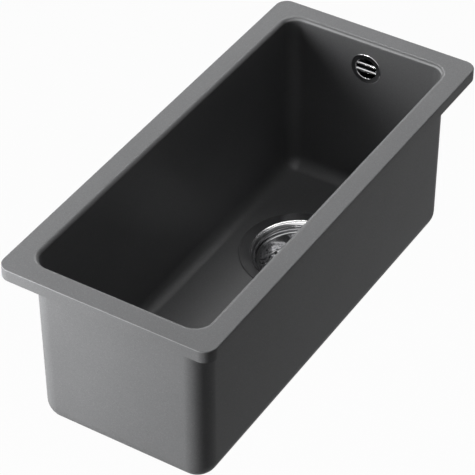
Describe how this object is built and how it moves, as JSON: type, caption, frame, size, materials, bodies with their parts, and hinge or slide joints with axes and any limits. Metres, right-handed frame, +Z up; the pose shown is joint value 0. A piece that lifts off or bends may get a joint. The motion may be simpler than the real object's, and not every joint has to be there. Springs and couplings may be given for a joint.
{
  "type": "undermount kitchen sink",
  "caption": "Narrow undermount kitchen sink bowl with a flat flange, a screwed waste holding a lift-out strainer basket, and an overflow piped down behind the end wall.",
  "frame": {"origin": "centre of the flange's flat top face, which bears on the underside of the worktop", "axes": "+X across the bowl, +Y along the bowl towards the overflow wall, +Z up out of the bowl"},
  "size_m": [0.2, 0.4575, 0.2445],
  "materials": {
    "composite": "matt anthracite quartz composite with fine grain",
    "polished_steel": "polished pressed stainless steel",
    "dark_plastic": "satin moulded polypropylene",
    "brass": "turned brass",
    "black_rubber": "matt moulded rubber"
  },
  "bodies": {
    "sink": {"bowl": "composite", "cup_seal": "black_rubber", "strainer_cup": "polished_steel", "body_seal": "black_rubber", "waste_body": "dark_plastic", "screw_insert": "brass", "centre_screw": "polished_steel", "screw_washer": "black_rubber", "overflow_rosette": "polished_steel", "overflow_seal": "black_rubber", "overflow_elbow": "dark_plastic", "elbow_nut": "dark_plastic", "elbow_cone": "black_rubber", "overflow_pipe": "dark_plastic", "branch_nut": "dark_plastic", "branch_cone": "black_rubber"},
    "strainer_basket": {"basket": "polished_steel", "basket_knob": "polished_steel", "basket_hub": "dark_plastic", "basket_seal": "black_rubber"}
  },
  "joints": [
    {"name": "basket_lift", "type": "slide", "parent": "sink", "child": "strainer_basket", "axis": [0, 0, 1], "range_m": [0, 0.045]}
  ]
}
